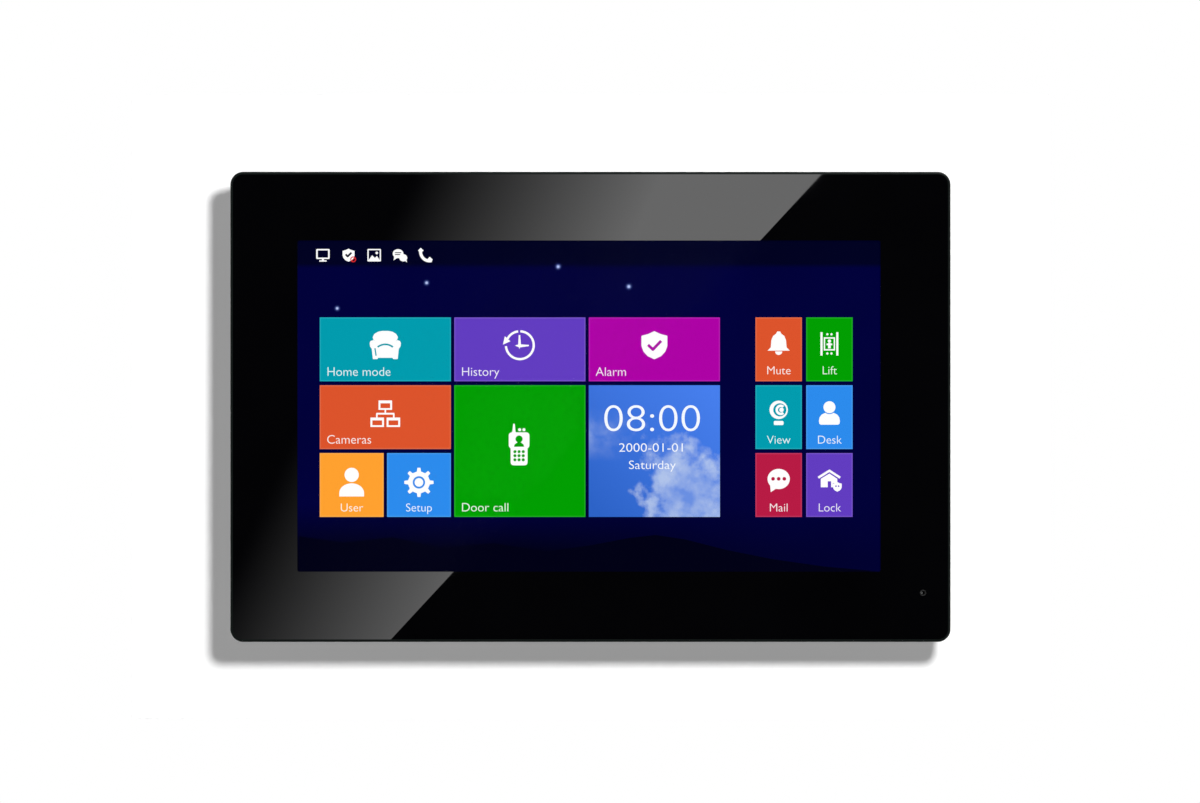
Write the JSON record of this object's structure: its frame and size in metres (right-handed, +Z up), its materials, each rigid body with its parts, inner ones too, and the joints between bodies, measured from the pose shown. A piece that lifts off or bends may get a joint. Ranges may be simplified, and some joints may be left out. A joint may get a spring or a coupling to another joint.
{
  "type": "video intercom monitor",
  "caption": "Wall-hung indoor video intercom monitor: flush rounded glass front over a touch display, slim moulded case and a pressed steel hook bracket.",
  "frame": {"origin": "middle of the bracket's back face, on the wall plane and straight behind the middle of the glass", "axes": "+Z up, +X to the right as seen from the front, +Y into the wall; the glass faces -Y"},
  "size_m": [0.191, 0.024, 0.1248],
  "materials": {
    "cover_glass": "polished black-bordered glass",
    "black_tape": "matte",
    "housing_plastic": "satin",
    "cover_plastic": "fine spark texture",
    "sensor_glass": "polished",
    "display_glass": "lit display",
    "foam": "foam",
    "sheet_steel": "rolled",
    "zinc_plated_steel": "zinc plated",
    "zinc_screw": "zinc plated",
    "white_film": "satin",
    "clear_acrylic": "polished",
    "flex_circuit": "satin",
    "circuit_board": "solder mask",
    "chip_resin": "moulded",
    "ferrite": "sintered",
    "can_aluminium": "satin",
    "connector_plastic": "moulded",
    "jack_shell": "tinned",
    "terminal_plastic": "moulded",
    "release_plastic": "moulded",
    "plunger_plastic": "moulded",
    "black_rubber": "moulded",
    "lead_sleeve": "extruded",
    "cone_paper": "pressed pulp",
    "label_film": "blank satin film"
  },
  "bodies": {
    "wall_bracket": {"wall_bracket": "zinc_plated_steel"},
    "monitor": {"front_glass": "cover_glass", "glass_tape": "black_tape", "front_housing": "housing_plastic", "touch_sensor": "sensor_glass", "display_gasket": "foam", "lcd_bezel": "sheet_steel", "lcd_panel": "display_glass", "diffuser_sheets": "white_film", "light_guide": "clear_acrylic", "backlight_led_bar": "white_film", "backlight_tray": "sheet_steel", "display_flex": "flex_circuit", "touch_flex": "flex_circuit", "main_board": "circuit_board", "processor": "chip_resin", "thermal_pad": "foam", "memory_chip_1": "chip_resin", "memory_chip_2": "chip_resin", "shield_can": "sheet_steel", "power_inductor": "ferrite", "capacitor_1": "can_aluminium", "capacitor_2": "can_aluminium", "display_connector": "connector_plastic", "touch_connector": "connector_plastic", "speaker_connector": "connector_plastic", "microphone_connector": "connector_plastic", "network_jack": "jack_shell", "terminal_block": "terminal_plastic", "reset_switch": "chip_resin", "board_screw_1": "zinc_screw", "board_screw_2": "zinc_screw", "board_screw_3": "zinc_screw", "board_screw_4": "zinc_screw", "microphone_boot": "black_rubber", "microphone_capsule": "can_aluminium", "microphone_lead": "lead_sleeve", "speaker_gasket": "foam", "speaker_frame": "housing_plastic", "speaker_surround": "black_rubber", "speaker_magnet": "zinc_plated_steel", "speaker_lead": "lead_sleeve", "rear_cover": "cover_plastic", "rating_label": "label_film", "case_screw_1": "zinc_screw", "case_screw_2": "zinc_screw", "case_screw_3": "zinc_screw", "case_screw_4": "zinc_screw", "case_screw_5": "zinc_screw", "case_screw_6": "zinc_screw"},
    "terminal_button_1": {"terminal_button_1": "release_plastic"},
    "terminal_button_2": {"terminal_button_2": "release_plastic"},
    "terminal_button_3": {"terminal_button_3": "release_plastic"},
    "terminal_button_4": {"terminal_button_4": "release_plastic"},
    "reset_plunger": {"reset_plunger": "plunger_plastic"},
    "speaker_cone": {"speaker_cone": "cone_paper"}
  },
  "joints": [
    {"name": "monitor_lift", "type": "slide", "parent": "wall_bracket", "child": "monitor", "axis": [0, 0, 1], "range_m": [0, 0.008]},
    {"name": "terminal_press_1", "type": "slide", "parent": "monitor", "child": "terminal_button_1", "axis": [0, -1, 0], "range_m": [0, 0.0012], "stiffness_N_per_m": 2000},
    {"name": "terminal_press_2", "type": "slide", "parent": "monitor", "child": "terminal_button_2", "axis": [0, -1, 0], "range_m": [0, 0.0012], "stiffness_N_per_m": 2000},
    {"name": "terminal_press_3", "type": "slide", "parent": "monitor", "child": "terminal_button_3", "axis": [0, -1, 0], "range_m": [0, 0.0012], "stiffness_N_per_m": 2000},
    {"name": "terminal_press_4", "type": "slide", "parent": "monitor", "child": "terminal_button_4", "axis": [0, -1, 0], "range_m": [0, 0.0012], "stiffness_N_per_m": 2000},
    {"name": "reset_press", "type": "slide", "parent": "monitor", "child": "reset_plunger", "axis": [0, -1, 0], "range_m": [0, 0.00025], "stiffness_N_per_m": 6000},
    {"name": "speaker_stroke", "type": "slide", "parent": "monitor", "child": "speaker_cone", "axis": [0, 1, 0], "range_m": [-0.0003, 0.0003], "stiffness_N_per_m": 1500}
  ]
}
